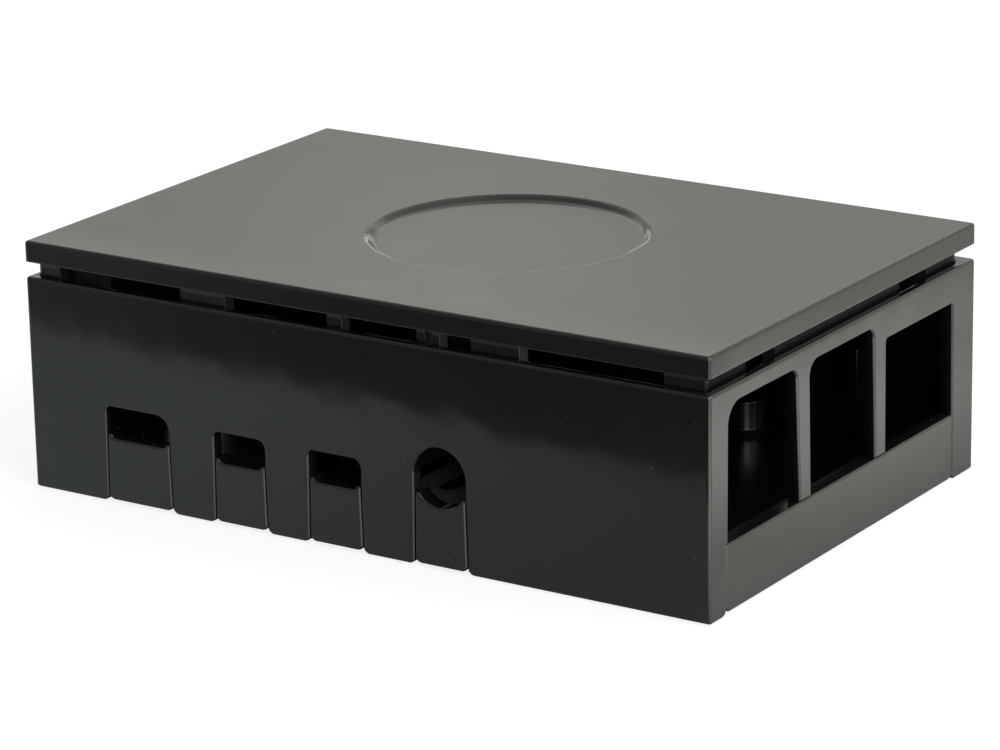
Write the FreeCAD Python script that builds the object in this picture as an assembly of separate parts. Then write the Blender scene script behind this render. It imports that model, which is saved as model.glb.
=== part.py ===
import FreeCAD, Part

import math
import os

# Case for a credit-card sized single board computer: base, frame and lid, in millimetres.
# X runs along the side with the small ports, Y from that side to the back, Z up.
# The origin is the middle of the footprint, on the surface that the case stands on.

# The board that the case is made for
board_length = 85.0
board_width = 56.0
board_thickness = 1.4
board_hole_inset = 3.5
board_holes_long = 58.0

# Room from the edges of the board to the outside, and height of its underside
room_left = 4.6
room_right = 4.4
room_front = 2.7
room_back = 3.3
board_rest = 6.5

# Outside and walls
frame_height = 26.2
vent_gap = 1.8
lid_thickness = 2.6
wall = 1.6
corner_radius = 0.45
edge_radius = 0.45
under_radius = 0.15
lip_bevel = 0.2

# Clearances
fit_gap = 0.15
seam_gap = 0.12
seat_gap = 0.05

# Ports of the front: middle along the board, width, foot above the board, height,
# roundings of the top corners at the left and at the right
power_along = 11.2
power_width = 9.3
power_foot = 0.0
power_height = 3.9
power_round = (0.65, 1.95)
video_along = (26.0, 39.5)
video_width = 7.3
video_foot = -0.4
video_height = 3.7
video_round = (0.6, 1.1)
audio_along = 54.0
audio_width = 7.0
audio_foot = -0.6
audio_height = 7.1
cradle_round = 0.9
audio_cradle_round = 3.8
horn_rise = 0.5
horn_width = 0.45
audio_horn_rise = 1.4
seam_draft = 0.15
seam_bevel = 0.45

# Windows of the right side, between two legs and two ribs: sizes at the top of the windows,
# middles of the ribs along the board, and how far they lean to the back at their feet
leg_front = 4.1
leg_back = 5.6
bay_step = 0.4
side_wall_height = 8.2
side_rib = 2.95
rib_along = (17.86, 35.76)
rib_lean = (0.6, 0.3)
window_draft = 0.24
tall_header = 2.1
low_header = 4.2
window_round_front = (2.5, 1.8, 0.3)
window_round_back = (1.2, 1.2, 0.3)

# Card slot of the left side
card_along = 28.0
card_width = 12.0
card_height = 7.0
card_round = 1.5
card_reach = 8.0

# Base
base_lift = 0.25
floor_thickness = 2.0
root_overlap = 0.45
post_radius = 2.8
post_foot = 0.8
pilot_radius = 1.1
pilot_depth = 4.8
pad_radius = 5.0
pad_inset = 10.0
finger_width = 8.0
finger_height = 5.0
finger_thickness = 1.4
finger_along = 22.0
floor_vents = 7
floor_vent_width = 2.4
floor_vent_length = 26.0
floor_vent_pitch = 6.0

# Ribs inside the frame that hold the board down
hold_rib_width = 1.2
hold_rib_reach = 1.2
hold_rib_height = 6.0
hold_gap = 0.1
back_ribs = (-33.0, 0.0, 33.0)

# Lid: collar, openings in the collar from the middle of the side, clips, round dish
collar_inset = 1.1
collar_wall = 1.6
collar_depth = 1.75
collar_root = 0.6
collar_round_front = 0.6
collar_round_back = 2.8
long_vents = ((-42.6, -24.8), (-18.4, -4.0), (-2.0, 8.3), (9.4, 10.4), (11.4, 15.6), (22.0, 40.6))
short_vents = ((-21.4, -15.0), (14.0, 20.5))
clip_along = (-21.6, 18.8)
clip_width = 6.3
clip_wall = 1.2
clip_depth = 6.0
stay_along = -39.5
stay_length = 4.4
dish_radius = 16.5
dish_depth = 0.6
dish_round = 1.0
dish_shift_x = 1.0
dish_shift_y = 0.4

# Directions in which flat outlines stand
FLAT = FreeCAD.Rotation()
FRONT = FreeCAD.Rotation(FreeCAD.Vector(1, 0, 0), 90)
SIDE = FreeCAD.Rotation(FreeCAD.Vector(1, 1, 1), 120)

# Places worked out from the sizes
case_length = room_left + board_length + room_right
case_width = room_front + board_width + room_back
left = -case_length / 2
right = case_length / 2
front = -case_width / 2
back = case_width / 2
board_x = left + room_left
board_y = front + room_front
board_top = board_rest + board_thickness
floor_top = base_lift + floor_thickness
floor_edge = wall + fit_gap
lid_under = frame_height + vent_gap
lid_top = lid_under + lid_thickness
rim_wall = collar_inset - fit_gap
rim_seat = frame_height - collar_depth


def rounded_face(corners, stand):
    """Face inside the corners (u, v, radius), where each corner is rounded by its own arc."""
    points = [FreeCAD.Vector(u, v, 0) for u, v, _ in corners]
    joins = []
    for index, (_, _, radius) in enumerate(corners):
        here = points[index]
        if radius == 0:
            joins.append((here, here, here))
            continue
        back_way = (points[index - 1] - here).normalize()
        next_way = (points[(index + 1) % len(points)] - here).normalize()
        half_turn = back_way.getAngle(next_way) / 2
        reach = radius / math.tan(half_turn)
        middle = (back_way + next_way).normalize() * (radius / math.sin(half_turn) - radius)
        joins.append((here + back_way * reach, here + middle, here + next_way * reach))
    edges = []
    for index, (start, middle, end) in enumerate(joins):
        if corners[index][2] > 0:
            edges.append(Part.Arc(start, middle, end).toShape())
        following = joins[(index + 1) % len(joins)][0]
        if end.distanceToPoint(following) > 1e-7:
            edges.append(Part.LineSegment(end, following).toShape())
    face = Part.Face(Part.Wire(edges))
    face.Placement = FreeCAD.Placement(FreeCAD.Vector(), stand)
    return face


def flat_prism(inset, radius, low, high):
    """Upright block with the outline of the case, drawn in by the inset."""
    x, y = right - inset, back - inset
    corners = [(-x, -y, radius), (x, -y, radius), (x, y, radius), (-x, y, radius)]
    face = rounded_face(corners, FLAT)
    face.translate(FreeCAD.Vector(0, 0, low))
    return face.extrude(FreeCAD.Vector(0, 0, high - low))


def collar_prism(inset, low, high):
    """Upright block with the outline of the collar, more rounded at the back corners."""
    x, y = right - inset, back - inset
    near = max(collar_round_front + collar_inset - inset, 0.3)
    far = max(collar_round_back + collar_inset - inset, 0.3)
    corners = [(-x, -y, near), (x, -y, near), (x, y, far), (-x, y, far)]
    face = rounded_face(corners, FLAT)
    face.translate(FreeCAD.Vector(0, 0, low))
    return face.extrude(FreeCAD.Vector(0, 0, high - low))


def front_plate(corners, start, thickness):
    """Upright plate parallel to the front, from the corners (x, z, radius)."""
    face = rounded_face(corners, FRONT)
    face.translate(FreeCAD.Vector(0, start, 0))
    return face.extrude(FreeCAD.Vector(0, thickness, 0))


def side_plate(corners, start, thickness):
    """Upright plate parallel to the right side, from the corners (y, z, radius)."""
    face = rounded_face(corners, SIDE)
    face.translate(FreeCAD.Vector(start, 0, 0))
    return face.extrude(FreeCAD.Vector(thickness, 0, 0))


def block(x, y, z):
    """Straight block between pairs of limits, for cuts and thin ribs."""
    corner = FreeCAD.Vector(x[0], y[0], z[0])
    return Part.makeBox(x[1] - x[0], y[1] - y[0], z[1] - z[0], corner)


def revolved(corners, x, y):
    """Round solid about the upright line at x, y, from the corners (radius, z, rounding)."""
    solid = rounded_face(corners, FRONT).revolve(FreeCAD.Vector(), FreeCAD.Vector(0, 0, 1), 360)
    solid.translate(FreeCAD.Vector(x, y, 0))
    return solid


def front_and_back(solid):
    """The solid and its mirror image across the middle of the width."""
    return [solid, solid.mirror(FreeCAD.Vector(), FreeCAD.Vector(0, 1, 0))]


def level_edges(solid, height, inset):
    """Edges that lie in the outer loop of the case outline at one height."""
    found = []
    for edge in solid.Edges:
        box = edge.BoundBox
        reach = max(box.XMax - right, left - box.XMin, box.YMax - back, front - box.YMin)
        flat = box.ZMax - box.ZMin < 1e-4 and abs(box.ZMin - height) < 1e-4
        if flat and abs(reach + inset) < 1e-4:
            found.append(edge)
    return found


def lip_edges(solid, low):
    """Outline at the low end, with the outer edges of the slots and windows above it."""
    tiny = 1e-4
    found = level_edges(solid, low, 0)
    for edge in solid.Edges:
        box = edge.BoundBox
        in_front = box.YMax < front + tiny
        at_side = box.XMin > right - tiny or box.XMax < left + tiny
        clear_x = min(right - box.XMax, box.XMin - left) > corner_radius + tiny
        clear_y = min(back - box.YMax, box.YMin - front) > corner_radius + tiny
        if box.ZMax > low + tiny and ((in_front and clear_x) or (at_side and clear_y)):
            found.append(edge)
    return found


# Ports of the front side

def port_list():
    """Middle, width, foot, top, roundings, cradle rounding and horn height of each port."""
    power = (power_along, power_width, power_foot, power_height, power_round)
    video = [(along, video_width, video_foot, video_height, video_round) for along in video_along]
    audio = (audio_along, audio_width, audio_foot, audio_height, (audio_width / 2, audio_width / 2))
    ports = [size + (cradle_round, horn_rise) for size in (power, *video)]
    ports.append(audio + (audio_cradle_round, audio_horn_rise))
    placed = []
    for along, width, foot, height, rounds, cradle, horn in ports:
        low = board_top + foot
        placed.append((board_x + along, width, low, low + height, rounds, cradle, low + horn))
    return placed


def port_slot(port):
    """Slot in the front wall: open below, with rounded mouth and the top half of the port."""
    x, width, _, top, rounds, _, horn = port
    half = width / 2
    foot_half = half + seam_draft
    mouth = foot_half + seam_bevel
    corners = [(x - mouth, -1, 0), (x + mouth, -1, 0), (x + mouth, 0, 0), (x + foot_half, seam_bevel, 0),
               (x + half, horn, 0), (x + half, top, rounds[1]), (x - half, top, rounds[0]),
               (x - half, horn, 0), (x - foot_half, seam_bevel, 0), (x - mouth, 0, 0)]
    return front_plate(corners, front - 1, wall + 2)


def port_tongue(port):
    """Tongue of the base that fills the slot and carries the lower half of the port."""
    x, width, low, _, _, cradle, horn = port
    half = width / 2 - seam_gap
    foot_half = half + seam_draft
    shoulder = base_lift + seam_bevel
    corners = [(x - foot_half + seam_bevel, base_lift, 0), (x + foot_half - seam_bevel, base_lift, 0),
               (x + foot_half, shoulder, 0), (x + half, horn, 0), (x - half, horn, 0),
               (x - foot_half, shoulder, 0)]
    tongue = front_plate(corners, front, floor_edge + root_overlap)
    rise, brim = horn - low, half - horn_width
    curve = min(cradle, (brim ** 2 + rise ** 2) / (2 * rise))
    hollow = brim + curve - math.sqrt(curve ** 2 - (curve - rise) ** 2)
    bowl = [(x - hollow, low, curve), (x + hollow, low, curve),
            (x + hollow, low + 2 * curve, 0), (x - hollow, low + 2 * curve, 0)]
    return tongue.cut(front_plate(bowl, front - 1, floor_edge + root_overlap + 2))


# Right side

def side_windows():
    """Start and end of each window at its top and at its sill, along the right side."""
    middles = [board_y + along for along in rib_along]
    starts = [front + leg_front] + [middle + side_rib / 2 for middle in middles]
    ends = [middle - side_rib / 2 for middle in middles] + [back - leg_back]
    foot_starts = [start + lean - window_draft for start, lean in zip(starts, (0,) + rib_lean)]
    foot_ends = [end + lean + window_draft for end, lean in zip(ends, rib_lean + (0,))]
    return list(zip(starts, ends, foot_starts, foot_ends))


def side_bay():
    """Start and end of the space that the low side wall of the base fills."""
    windows = side_windows()
    return windows[0][2] - bay_step, windows[-1][3]


def side_opening():
    """Windows of the right side, joined below by the bay for the side wall of the base."""
    start, end = side_bay()
    sill = side_wall_height + seat_gap
    corners = [(start - seam_bevel, -1, 0), (end + seam_bevel, -1, 0), (end + seam_bevel, 0, 0),
               (end, seam_bevel, 0), (end, sill, 0), (start, sill, 0), (start, seam_bevel, 0),
               (start - seam_bevel, 0, 0)]
    opening = side_plate(corners, right - wall - 1, wall + 2)
    tops = [frame_height - header for header in (tall_header, tall_header, low_header)]
    shapes = zip(side_windows(), tops, window_round_front, window_round_back)
    for (first, last, foot_first, foot_last), top, round_front, round_back in shapes:
        window = [(foot_first, sill - 1, 0), (foot_last, sill - 1, 0), (foot_last, sill, 0),
                  (last, top, round_back), (first, top, round_front), (foot_first, sill, 0)]
        opening = opening.fuse(side_plate(window, right - wall - 1, wall + 2))
    return opening


def card_slot(thickness):
    """Slot of the left side for the memory card, open below."""
    y = board_y + card_along
    half = card_width / 2
    mouth = half + seam_bevel
    corners = [(y - mouth, -1, 0), (y + mouth, -1, 0), (y + mouth, 0, 0), (y + half, seam_bevel, 0),
               (y + half, card_height, card_round), (y - half, card_height, card_round),
               (y - half, seam_bevel, 0), (y - mouth, 0, 0)]
    return side_plate(corners, left - 1, thickness + 1)


# Frame

def hold_ribs():
    """Ribs on the inner faces that end just above the edges of the board."""
    ports = port_list()
    middles = [(a[0] + a[1] / 2 + b[0] - b[1] / 2) / 2 for a, b in zip(ports, ports[1:])]
    low = board_top + hold_gap
    upright = (low, low + hold_rib_height)
    ribs = []
    for x in middles:
        reach = (front + wall / 2, board_y + hold_rib_reach)
        ribs.append(block((x - hold_rib_width / 2, x + hold_rib_width / 2), reach, upright))
    for x in back_ribs:
        reach = (board_y + board_width - hold_rib_reach, back - wall / 2)
        ribs.append(block((x - hold_rib_width / 2, x + hold_rib_width / 2), reach, upright))
    return ribs


def make_frame():
    """Four walls in one moulding, with a stepped rim that takes the collar of the lid."""
    body = flat_prism(0, corner_radius, 0, frame_height)
    body = body.makeFillet(min(edge_radius, corner_radius * 0.9), level_edges(body, frame_height, 0))
    body = body.cut(flat_prism(wall, corner_radius, -1, frame_height + 1))
    body = body.cut(collar_prism(rim_wall, rim_seat, frame_height + 1))
    body = body.fuse(hold_ribs())
    for port in port_list():
        body = body.cut(port_slot(port))
    body = body.cut(side_opening()).cut(card_slot(wall + 1)).removeSplitter()
    return body.makeChamfer(lip_bevel, lip_edges(body, 0))


# Base

def board_posts():
    """Posts with pilot bores under the four holes of the board."""
    bore_end = board_rest - pilot_depth
    profile = [(pilot_radius, board_rest, 0), (pilot_radius, bore_end, 0), (0, bore_end, 0),
               (0, base_lift, 0), (post_radius + post_foot, base_lift, 0),
               (post_radius + post_foot, floor_top, 0), (post_radius, floor_top + post_foot, 0),
               (post_radius, board_rest, 0)]
    places = []
    for x in (board_hole_inset, board_hole_inset + board_holes_long):
        for y in (board_hole_inset, board_width - board_hole_inset):
            places.append(revolved(profile, board_x + x, board_y + y))
    return places


def floor_openings():
    """Row of rounded vent slots in the floor."""
    half = floor_vent_length / 2
    end = floor_vent_width / 2
    cuts = []
    for index in range(floor_vents):
        x = (index - (floor_vents - 1) / 2) * floor_vent_pitch
        corners = [(x - end, -half, end), (x + end, -half, end), (x + end, half, end), (x - end, half, end)]
        cut = rounded_face(corners, FLAT).extrude(FreeCAD.Vector(0, 0, floor_top + 1))
        cuts.append(cut)
    return cuts


def make_base():
    """Floor with board posts, front tongues, low side wall, fingers and foot pads."""
    floor = flat_prism(floor_edge, corner_radius, base_lift, floor_top)
    floor = floor.cut(floor_openings())
    start, end = side_bay()
    near, far = start + seam_gap, end - seam_gap
    shoulder = base_lift + seam_bevel
    side = [(near + seam_bevel, base_lift, 0), (far - seam_bevel, base_lift, 0), (far, shoulder, 0),
            (far, side_wall_height, 0), (near, side_wall_height, 0), (near, shoulder, 0)]
    thickness = floor_edge + root_overlap
    pieces = [side_plate(side, right - thickness, thickness)]
    pieces += [port_tongue(port) for port in port_list()]
    pieces += board_posts()
    for x in (-finger_along, finger_along):
        upright = (base_lift, floor_top + finger_height)
        depth = (back - floor_edge - finger_thickness, back - floor_edge)
        pieces.append(block((x - finger_width / 2, x + finger_width / 2), depth, upright))
    for x in (left + pad_inset, right - pad_inset):
        for y in (front + pad_inset, back - pad_inset):
            pieces.append(Part.makeCylinder(pad_radius, floor_top, FreeCAD.Vector(x, y, 0)))
    base = floor.fuse(pieces).removeSplitter()
    notch_y = board_y + card_along
    notch = [(left - 1, notch_y - card_width / 2, 0), (left + card_reach, notch_y - card_width / 2, 3),
             (left + card_reach, notch_y + card_width / 2, 3), (left - 1, notch_y + card_width / 2, 0)]
    base = base.cut(rounded_face(notch, FLAT).extrude(FreeCAD.Vector(0, 0, floor_top + 1)))
    return base.makeChamfer(lip_bevel, lip_edges(base, base_lift))


# Lid

def collar_cuts():
    """Openings that leave the collar standing as corner pieces, tabs and ribs."""
    reach = collar_inset + collar_wall + 0.5
    upright = (rim_seat - 1, lid_under)
    cuts = []
    for start, end in long_vents:
        depth = (front + collar_inset - collar_root, front + reach)
        cuts += front_and_back(block((start, end), depth, upright))
    for start, end in short_vents:
        cuts.append(block((right - reach, right - collar_inset + collar_root), (start, end), upright))
        cuts.append(block((left + collar_inset - collar_root, left + reach), (start, end), upright))
    return cuts


def lid_clips():
    """Clips of the collar that reach down along the inner faces of the frame."""
    clips = []
    for x in clip_along:
        low = frame_height - clip_depth
        upright = (low, lid_under + lid_thickness / 2)
        near = front + floor_edge
        clip = block((x - clip_width / 2, x + clip_width / 2), (near, near + clip_wall), upright)
        clips += front_and_back(clip)
    near = front + collar_inset + collar_wall
    stay = block((stay_along - stay_length / 2, stay_along + stay_length / 2),
                 (near, near + clip_wall), (rim_seat + seat_gap, lid_under + lid_thickness / 2))
    return clips + front_and_back(stay)


def dish():
    """Round shallow dish of the lid: a flat floor that rises to the top in one soft S."""
    slope = math.acos(1 - dish_depth / (2 * dish_round))
    run = dish_depth / (2 * math.tan(slope))
    edge = dish_radius + dish_round * math.sin(slope)
    low = lid_top - dish_depth
    corners = [(0, low, 0), (dish_radius - run, low, dish_round), (dish_radius + run, lid_top, dish_round),
               (edge, lid_top, 0), (edge, lid_top + 1, 0), (0, lid_top + 1, 0)]
    return revolved(corners, dish_shift_x, dish_shift_y)


def make_lid():
    """Flat plate with soft edges and a dish on top, and a vented collar below."""
    plate = flat_prism(0, corner_radius, lid_under, lid_top)
    largest = corner_radius * 0.9
    plate = plate.makeFillet(min(edge_radius, largest), level_edges(plate, lid_top, 0))
    plate = plate.makeFillet(min(under_radius, largest), level_edges(plate, lid_under, 0))
    collar = collar_prism(collar_inset, rim_seat + seat_gap, lid_under + lid_thickness / 2)
    collar = collar.cut(collar_prism(collar_inset + collar_wall, rim_seat - 1, lid_under))
    lid = plate.fuse(collar).removeSplitter()
    lid = lid.makeFillet(collar_root, level_edges(lid, lid_under, collar_inset))
    lid = lid.cut(collar_cuts())
    lid = lid.fuse(lid_clips()).removeSplitter()
    return lid.cut(dish())


def main():
    os.makedirs("parts", exist_ok=True)
    for name, shape in (("base", make_base()), ("frame", make_frame()), ("lid", make_lid())):
        solid = shape.Solids[0]
        solid.exportStep("parts/" + name + ".step")
        box = solid.BoundBox
        print(name, len(shape.Solids), solid.isValid(), round(solid.Volume, 1),
              round(box.XLength, 2), round(box.YLength, 2), round(box.ZLength, 2))


main()
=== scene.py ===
import math

import bpy
from mathutils import Matrix, Vector


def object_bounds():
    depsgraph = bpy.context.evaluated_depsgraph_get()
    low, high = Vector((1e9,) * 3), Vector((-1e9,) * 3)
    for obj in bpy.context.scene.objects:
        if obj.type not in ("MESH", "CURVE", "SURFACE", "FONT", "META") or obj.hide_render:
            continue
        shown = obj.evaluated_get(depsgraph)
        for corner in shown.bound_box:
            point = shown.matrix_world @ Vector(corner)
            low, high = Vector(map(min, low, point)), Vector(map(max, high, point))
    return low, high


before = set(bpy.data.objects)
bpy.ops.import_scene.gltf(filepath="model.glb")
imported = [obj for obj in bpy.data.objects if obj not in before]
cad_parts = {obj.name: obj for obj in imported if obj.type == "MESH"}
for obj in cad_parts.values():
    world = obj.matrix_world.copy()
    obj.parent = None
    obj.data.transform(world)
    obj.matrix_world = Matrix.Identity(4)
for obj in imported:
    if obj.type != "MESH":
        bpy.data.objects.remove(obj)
bpy.context.view_layer.update()
cad_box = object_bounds()


# Base: the lower half of the case, one injection moulding of black ABS. It has the floor with
# the board posts, the low wall under the side windows and a tongue below each front port, and
# it snaps into the frame from below.

def join(tree, value, socket):
    """The value, a number or another socket, on a socket of the tree."""
    if isinstance(value, bpy.types.NodeSocket):
        tree.links.new(value, socket)
    else:
        socket.default_value = value


def node(tree, kind, settings=(), **sockets):
    """A node of the tree, with its settings, and with each named socket set or linked."""
    made = tree.nodes.new(kind)
    for name, value in settings:
        setattr(made, name, value)
    for name, value in sockets.items():
        join(tree, value, made.inputs[name.replace("_", " ")])
    return made


def calc(tree, operation, first, *others):
    """Numbers or sockets joined by one operation, from left to right."""
    for other in others:
        made = node(tree, "ShaderNodeMath", [("operation", operation)])
        join(tree, first, made.inputs[0])
        join(tree, other, made.inputs[1])
        first = made.outputs[0]
    return first


def vector_calc(tree, operation, *values, result="Vector"):
    """The result of one operation on vectors."""
    made = node(tree, "ShaderNodeVectorMath", [("operation", operation)])
    for value, socket in zip(values, made.inputs):
        join(tree, value, socket)
    return made.outputs[result]


def ramp(tree, value, start, end, low=0.0, high=1.0, kind="SMOOTHSTEP"):
    """A level that runs from low to high while the value runs from start to end."""
    return node(tree, "ShaderNodeMapRange", [("interpolation_type", kind)], Value=value, From_Min=start,
                From_Max=end, To_Min=low, To_Max=high).outputs["Result"]


def blend(tree, share, first, second, clamp=True):
    """The first colour where the share is 0 and the second where it is 1."""
    made = node(tree, "ShaderNodeMix", [("data_type", "RGBA"), ("clamp_factor", clamp)], Factor=share)
    # A Mix node keeps its colours in the inputs 6 and 7 and in the output 2.
    for value, socket in zip((first, second), made.inputs[6:8]):
        join(tree, (*value, 1.0) if isinstance(value, tuple) else value, socket)
    return made.outputs[2]


def own_place(tree):
    """The place on the object, in metres from its origin."""
    return node(tree, "ShaderNodeTexCoord").outputs["Object"]


def split(tree, vector):
    """The three parts of a vector."""
    return tuple(node(tree, "ShaderNodeSeparateXYZ", Vector=vector).outputs)


def effect_group(name, inputs, outputs):
    """An empty node group with named number inputs and the given outputs."""
    group = bpy.data.node_groups.new(name, "ShaderNodeTree")
    for label, value in inputs:
        socket = group.interface.new_socket(label, in_out="INPUT", socket_type="NodeSocketFloat")
        socket.default_value = value
    for label, kind in outputs:
        group.interface.new_socket(label, in_out="OUTPUT", socket_type=kind)
    given = node(group, "NodeGroupInput").outputs
    result = node(group, "NodeGroupOutput").inputs
    return group, given, result


def moulded_skin():
    """Skin of a moulding: a slow wave from cooling plus the grain of the tool, as a height in mm."""
    group, given, result = effect_group(
        "moulded skin",
        [("Wave Count", 150.0), ("Wave Depth", 0.02), ("Grain Count", 2600.0), ("Grain Depth", 0.0006)],
        [("Height", "NodeSocketFloat"), ("Uneven", "NodeSocketFloat")])
    place = own_place(group)
    wave = node(group, "ShaderNodeTexNoise", Vector=place, Scale=given["Wave Count"], Detail=1.0,
                Roughness=0.4).outputs["Fac"]
    grain = node(group, "ShaderNodeTexNoise", Vector=place, Scale=given["Grain Count"],
                 Detail=2.0).outputs["Fac"]
    height = calc(group, "ADD", calc(group, "MULTIPLY", grain, given["Grain Depth"]),
                  calc(group, "MULTIPLY", wave, given["Wave Depth"]))
    join(group, height, result["Height"])
    join(group, wave, result["Uneven"])
    return group


def dust_specks():
    """Dust: round specks where the points of a fine scatter lie close to the surface."""
    group, given, result = effect_group(
        "dust specks", [("Count", 560.0), ("Size", 0.05)], [("Specks", "NodeSocketFloat")])
    solid_share = 0.4
    scatter = node(group, "ShaderNodeTexVoronoi", Vector=own_place(group), Scale=given["Count"])
    core = calc(group, "MULTIPLY", given["Size"], solid_share)
    specks = ramp(group, scatter.outputs["Distance"], core, given["Size"], 1.0, 0.0)
    join(group, specks, result["Specks"])
    return group


def soft_edges():
    """Moulded edges: the normal turns over a small radius, and a mask shows where it turns."""
    group, given, result = effect_group(
        "soft edges", [("Radius", 0.0002)], [("Normal", "NodeSocketVector"), ("Edge", "NodeSocketFloat")])
    turned = node(group, "ShaderNodeBevel", [("samples", 6)], Radius=given["Radius"]).outputs["Normal"]
    straight = node(group, "ShaderNodeNewGeometry").outputs["Normal"]
    along = vector_calc(group, "DOT_PRODUCT", turned, straight, result="Value")
    starts_to_turn, fully_turned = 0.99, 0.85
    join(group, turned, result["Normal"])
    join(group, ramp(group, along, starts_to_turn, fully_turned, kind="LINEAR"), result["Edge"])
    return group


def inner_faces():
    """Mask of the faces further in than the walls and below a height: matt there, and painted shade."""
    group, given, result = effect_group(
        "inner faces", [("Half Length", 0.0455), ("Half Width", 0.0295), ("Height", 0.02805)],
        [("Inside", "NodeSocketFloat")])
    from_middle = split(group, vector_calc(group, "ABSOLUTE", own_place(group)))
    within = [calc(group, "LESS_THAN", value, given[limit])
              for value, limit in zip(from_middle, ("Half Length", "Half Width", "Height"))]
    join(group, calc(group, "MULTIPLY", *within), result["Inside"])
    return group


skin_group = moulded_skin()
dust_group = dust_specks()
edge_group = soft_edges()
inner_group = inner_faces()


def black_abs(name, colour, roughness, wave_depth, dust_size, half_length=0.0455, half_width=0.0295,
              height=0.02805, inner_roughness=0.25):
    """Glossy black ABS as moulded: its skin, soft edges, a little dust, and matt faces inside.
    Its edges are lighter, partly as wear and partly as a painted highlight; its inner faces are painted
    shade.

    The inner faces lie within half_length and half_width of the middle and below height.
    """
    # The edge colour is lighter than the skin: partly wear, partly a painted highlight. The inner colour
    # is painted shade.
    edge_wear_and_highlight, painted_inner_shade = (0.008, 0.009, 0.008), (0.0010, 0.0015, 0.0012)
    dust_grey = (0.10, 0.10, 0.095)
    darker, lighter = [tuple(part * share for part in colour) for share in (0.8, 1.2)]
    smoother, rougher = roughness * 0.92, roughness * 1.08
    material = bpy.data.materials.new(name)
    material.use_nodes = True
    tree = material.node_tree
    shader = tree.nodes["Principled BSDF"].inputs
    skin = node(tree, "ShaderNodeGroup", [("node_tree", skin_group)], Wave_Depth=wave_depth).outputs
    dust = node(tree, "ShaderNodeGroup", [("node_tree", dust_group)], Size=dust_size).outputs
    edge = node(tree, "ShaderNodeGroup", [("node_tree", edge_group)]).outputs
    inner = node(tree, "ShaderNodeGroup", [("node_tree", inner_group)], Half_Length=half_length,
                 Half_Width=half_width, Height=height).outputs
    tone = blend(tree, skin["Uneven"], darker, lighter)
    # Painted highlight, partly wear: the edges turn lighter than the faces.
    worn_and_highlit = blend(tree, edge["Edge"], tone, edge_wear_and_highlight)
    dusty = blend(tree, dust["Specks"], worn_and_highlit, dust_grey)
    outer_roughness = ramp(tree, skin["Uneven"], 0.3, 0.7, smoother, rougher, "LINEAR")
    bump = node(tree, "ShaderNodeBump", Height=skin["Height"], Normal=edge["Normal"], Strength=1.0,
                Distance=0.001)
    # Painted shade: the inner faces get a darker colour than the outer ones.
    join(tree, blend(tree, inner["Inside"], dusty, painted_inner_shade), shader["Base Color"])
    join(tree, ramp(tree, inner["Inside"], 0.0, 1.0, outer_roughness, inner_roughness, "LINEAR"),
         shader["Roughness"])
    join(tree, bump.outputs["Normal"], shader["Normal"])
    join(tree, 1.54, shader["IOR"])
    return material


def dress(name, material):
    """The material in every slot of the part's own surface."""
    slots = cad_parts[name].data.materials
    for index in range(len(slots)):
        slots[index] = material


dress("base", black_abs("base black ABS", colour=(0.004, 0.0046, 0.0044), roughness=0.12,
                        wave_depth=0.05, dust_size=0.06))


# Frame: the four walls in one moulding of the same black ABS, open above and below, with the
# front port slots, the side windows between their legs and ribs, and the card slot. Its outer
# faces are as glossy as the tool and show the slow wave of a thin cooled wall.

dress("frame", black_abs("frame black ABS", colour=(0.004, 0.0046, 0.0044), roughness=0.11,
                         wave_depth=0.07, dust_size=0.05, half_length=0.0462, half_width=0.0302,
                         height=0.0263))


# Lid: a flat plate with a shallow round dish and a vented collar below, one moulding of black
# ABS. Clips on the collar snap inside the frame's long walls, and the posts between the vents
# carry the plate clear of the rim.

def soft_fall(tree, share, depth):
    """A height that falls with the square of the share, down to the depth."""
    return calc(tree, "MULTIPLY", calc(tree, "POWER", share, 2.0), depth, -1.0)


def front_fall():
    """Fall of the lid's top towards its front edge, as a height in mm that is zero further in."""
    group, given, result = effect_group(
        "front fall", [("Start", -0.0245), ("End", -0.031), ("Depth", 0.12)],
        [("Height", "NodeSocketFloat")])
    _, y, _ = split(group, own_place(group))
    share = ramp(group, y, given["Start"], given["End"], kind="LINEAR")
    join(group, soft_fall(group, share, given["Depth"]), result["Height"])
    return group


def collar_draft():
    """Draft of the collar's right side, as a height in mm that falls towards its foot."""
    group, given, result = effect_group(
        "collar draft", [("Side", 0.0455), ("Top", 0.0276), ("Slope", 320.0)],
        [("Height", "NodeSocketFloat")])
    x, _, z = split(group, own_place(group))
    at_side = calc(group, "GREATER_THAN", x, given["Side"])
    below = calc(group, "MINIMUM", calc(group, "SUBTRACT", z, given["Top"]), 0.0)
    join(group, calc(group, "MULTIPLY", below, given["Slope"], at_side), result["Height"])
    return group


def dish_rim():
    """Soft outer rounding of the dish's rim: a height in mm that falls with the square of the way in."""
    group, given, result = effect_group(
        "dish rim", [("Radius", 0.0160), ("Reach", 0.0014), ("Depth", 0.10)],
        [("Height", "NodeSocketFloat")])
    dish_centre, level_only = (0.001, 0.0004, 0.0), (1.0, 1.0, 0.0)
    offset = vector_calc(group, "SUBTRACT", own_place(group), dish_centre)
    radius = vector_calc(group, "LENGTH", vector_calc(group, "MULTIPLY", offset, level_only),
                         result="Value")
    outer = calc(group, "ADD", given["Radius"], given["Reach"])
    share = ramp(group, radius, outer, given["Radius"], kind="LINEAR")
    join(group, soft_fall(group, share, given["Depth"]), result["Height"])
    return group


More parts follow.
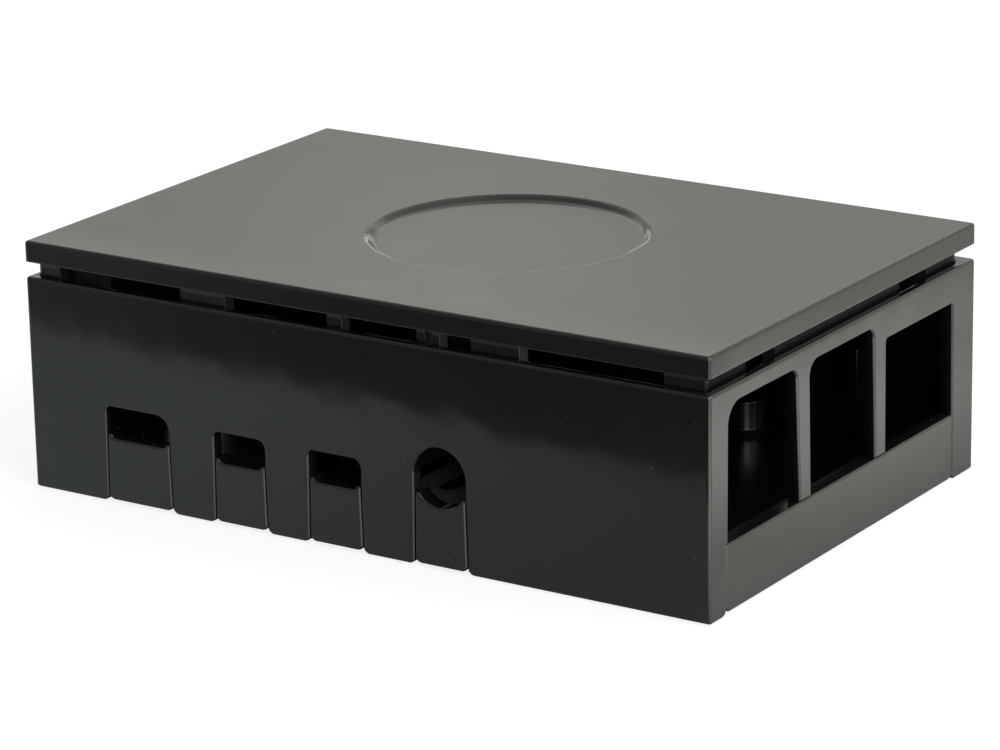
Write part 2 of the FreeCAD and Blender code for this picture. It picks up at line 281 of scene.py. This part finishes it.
lid_abs = black_abs("lid black ABS", colour=(0.0044, 0.0046, 0.0046), roughness=0.17,
                    wave_depth=0.012, dust_size=0.04, half_length=0.0458, half_width=0.0298,
                    inner_roughness=0.6)
tree = lid_abs.node_tree
bump_height = tree.nodes["Bump"].inputs["Height"]
lid_height = bump_height.links[0].from_socket
for shape in (front_fall(), collar_draft(), dish_rim()):
    added = node(tree, "ShaderNodeGroup", [("node_tree", shape)]).outputs["Height"]
    lid_height = calc(tree, "ADD", lid_height, added)
join(tree, lid_height, bump_height)
dress("lid", lid_abs)


# Studio: a plain white floor that the camera sees, and a glowing sheet under the case that only
# its gloss sees. Its glow is painted light that stands in for a lit floor: bright at the right,
# dimmer in front of the case, dark beyond its near edge, and a painted shadow right under the case.

def plane(name, half, height):
    """A level square round the middle of the case."""
    corners = [(x * half, y * half, height) for x, y in ((-1, -1), (1, -1), (1, 1), (-1, 1))]
    mesh = bpy.data.meshes.new(name)
    mesh.from_pydata(corners, [], [(0, 1, 2, 3)])
    made = bpy.data.objects.new(name, mesh)
    bpy.context.scene.collection.objects.link(made)
    return made


floor = plane("floor", 4.0, -0.0002)
floor_white = bpy.data.materials.new("floor white")
floor_white.use_nodes = True
tree = floor_white.node_tree
tree.nodes.remove(tree.nodes["Principled BSDF"])
glow = node(tree, "ShaderNodeEmission", Color=(1, 1, 1, 1), Strength=0.84)
lit = node(tree, "ShaderNodeBsdfDiffuse", Color=(0.2, 0.2, 0.2, 1))
both = node(tree, "ShaderNodeAddShader")
join(tree, glow.outputs[0], both.inputs[0])
join(tree, lit.outputs[0], both.inputs[1])
join(tree, both.outputs[0], tree.nodes["Material Output"].inputs["Surface"])
floor.data.materials.append(floor_white)
floor.visible_glossy = False
floor.visible_diffuse = False
floor.visible_shadow = False


def patch(tree, where, centre, reach, level):
    """A soft oval of light of a given level round a centre."""
    offset = vector_calc(tree, "SUBTRACT", where, centre)
    distance = vector_calc(tree, "LENGTH", vector_calc(tree, "DIVIDE", offset, reach), result="Value")
    return ramp(tree, distance, 1.0, 0.2, 0.0, level)


def mixed(tree, share, low, high):
    """The low level where the share is 0 and the high one where it is 1."""
    return calc(tree, "ADD", calc(tree, "MULTIPLY", calc(tree, "SUBTRACT", 1.0, share), low),
                calc(tree, "MULTIPLY", share, high))


sheet = plane("sheet", 1.5, -0.0004)
sheet.visible_camera = False
painted_sheet_light = bpy.data.materials.new("painted_sheet_light")
painted_sheet_light.use_nodes = True
tree = painted_sheet_light.node_tree
satin = tree.nodes["Principled BSDF"].inputs
satin["Base Color"].default_value = (0, 0, 0, 1)
satin["Roughness"].default_value = 0.2
on_sheet = own_place(tree)
x, y, _ = split(tree, on_sheet)

# Painted light: the sheet's glow levels stand in for a floor lit by lamps.
right_side = ramp(tree, x, 0.042, 0.052)
middle_glow = patch(tree, on_sheet, centre=(0.0785, 0.032, 0.0), reach=(0.031, 0.066, 1.0), level=0.78)
back_glow = patch(tree, on_sheet, centre=(0.083, 0.088, 0.0), reach=(0.012, 0.03, 1.0), level=0.33)
beside = calc(tree, "ADD", middle_glow, back_glow, 0.72)
before = ramp(tree, x, -0.06, 0.03, 0.61, 0.37)
beyond = ramp(tree, x, -0.13, -0.04, 0.24, 0.06)
edge_slant = 0.11
edge_line = calc(tree, "SUBTRACT", y, calc(tree, "MULTIPLY", x, edge_slant))
near_edge = ramp(tree, edge_line, -0.0772, -0.0750)
painted_table_light = mixed(tree, near_edge, beyond, mixed(tree, right_side, before, beside))
corner_glow = patch(tree, on_sheet, centre=(0.098, -0.054, 0.0), reach=(0.062, 0.046, 1.0), level=1.8)

# Painted shadow: the glow falls to nothing under the case and fades in just past its walls.
case_half_length, case_half_width, _ = cad_box[1]
from_middle_x, from_middle_y, _ = split(tree, vector_calc(tree, "ABSOLUTE", on_sheet))
past_wall = calc(tree, "MAXIMUM", calc(tree, "SUBTRACT", from_middle_x, case_half_length),
                 calc(tree, "SUBTRACT", from_middle_y, case_half_width))
outside_painted_shadow = ramp(tree, past_wall, -0.001, 0.0006)

cool_white, neutral_white = (0.93, 1.06, 0.99), (1.02, 1.02, 0.95)
join(tree, blend(tree, right_side, cool_white, neutral_white), satin["Emission Color"])
join(tree, calc(tree, "MULTIPLY", calc(tree, "ADD", painted_table_light, corner_glow), outside_painted_shadow),
     satin["Emission Strength"])
sheet.data.materials.append(painted_sheet_light)


# Light: the white walls of a tent, brighter behind and to the right than at the front left, with
# a dim band between their foot and their upper half, and three softboxes to the right and the
# front right of the case.

world = bpy.data.worlds.new("tent")
bpy.context.scene.world = world
world.use_nodes = True
tree = world.node_tree
way = node(tree, "ShaderNodeTexCoord").outputs["Generated"]
way_x, _, way_z = split(tree, way)
bright_way = (0.45, 0.85, 0.1)
towards_bright = vector_calc(tree, "DOT_PRODUCT", way, bright_way, result="Value")
around = ramp(tree, towards_bright, -0.9, 0.6, 0.3, 1.0)
foot_wall = ramp(tree, way_z, 0.10, 0.185, 0.9, 0.0)
low_wall = ramp(tree, way_z, 0.235, 0.288, 0.50, 0.97)
upper_wall = ramp(tree, way_z, 0.31, 0.37, 0.0, 0.45, "LINEAR")
roof = ramp(tree, way_z, 0.40, 0.55, 0.0, -0.45)
left_wall = ramp(tree, way_x, -0.61, -0.57, 1.03, 0.94)
hot_spot = patch(tree, way, centre=(-0.54, 0.0, 0.287), reach=(0.06, 10.0, 0.035), level=0.5)
tent_level = calc(tree, "MULTIPLY", around, calc(tree, "ADD", low_wall, upper_wall, foot_wall, roof),
                  calc(tree, "ADD", left_wall, hot_spot))
dark, warm_white, backdrop_white = (0.0, 0.0, 0.0), (1.01, 0.98, 0.915), (1.0, 1.0, 1.0)
grey_below = (0.10, 0.13, 0.12)
above_ground = ramp(tree, way_z, -0.01, 0.01, kind="LINEAR")
tent = blend(tree, above_ground, grey_below, blend(tree, tent_level, dark, warm_white, clamp=False))
to_camera = node(tree, "ShaderNodeLightPath").outputs["Is Camera Ray"]
join(tree, blend(tree, to_camera, tent, backdrop_white), tree.nodes["Background"].inputs["Color"])


def softbox(name, stand, aim, size, power):
    """A square lamp at its stand that faces the point it is aimed at."""
    lamp = bpy.data.lights.new(name, "AREA")
    lamp.size = size
    lamp.energy = power
    lamp.color = (1.0, 0.985, 0.96)
    made = bpy.data.objects.new(name, lamp)
    made.location = stand
    made.rotation_euler = (Vector(aim) - Vector(stand)).to_track_quat("-Z", "Y").to_euler()
    bpy.context.scene.collection.objects.link(made)


softbox("right softbox", (0.55, 0.20, 0.38), (0.06, 0.03, 0.0), size=0.5, power=3.0)
softbox("corner softbox", (0.33, -0.20, 0.50), (0.04, -0.03, 0.02), size=0.16, power=0.7)
softbox("front right softbox", (0.56, -0.37, 0.21), (0.0, -0.03, 0.0), size=0.25, power=1.8)


# Camera: a long lens half a metre away that looks down a little on the front and the right side,
# from the photograph's own angle.

looked_at = Vector((0.00032, -0.001, 0.01313))
distance = 0.52104
azimuth, elevation, roll = (math.radians(angle) for angle in (33.434, 17.493, -1.106))
forward = Vector((-math.sin(azimuth) * math.cos(elevation), math.cos(azimuth) * math.cos(elevation),
                  -math.sin(elevation)))
sideways = forward.cross(Vector((0, 0, 1))).normalized()
upwards = sideways.cross(forward)
camera_x = sideways * math.cos(roll) + upwards * math.sin(roll)
camera_y = upwards * math.cos(roll) - sideways * math.sin(roll)
turned = Matrix((camera_x, camera_y, -forward)).transposed().to_4x4()
camera = bpy.data.objects.new("camera", bpy.data.cameras.new("camera"))
camera.data.lens = 157.4
camera.data.sensor_width = 36.0
camera.matrix_world = Matrix.Translation(looked_at - forward * distance) @ turned
bpy.context.scene.collection.objects.link(camera)
bpy.context.scene.camera = camera
bpy.context.scene.view_settings.view_transform = "Standard"
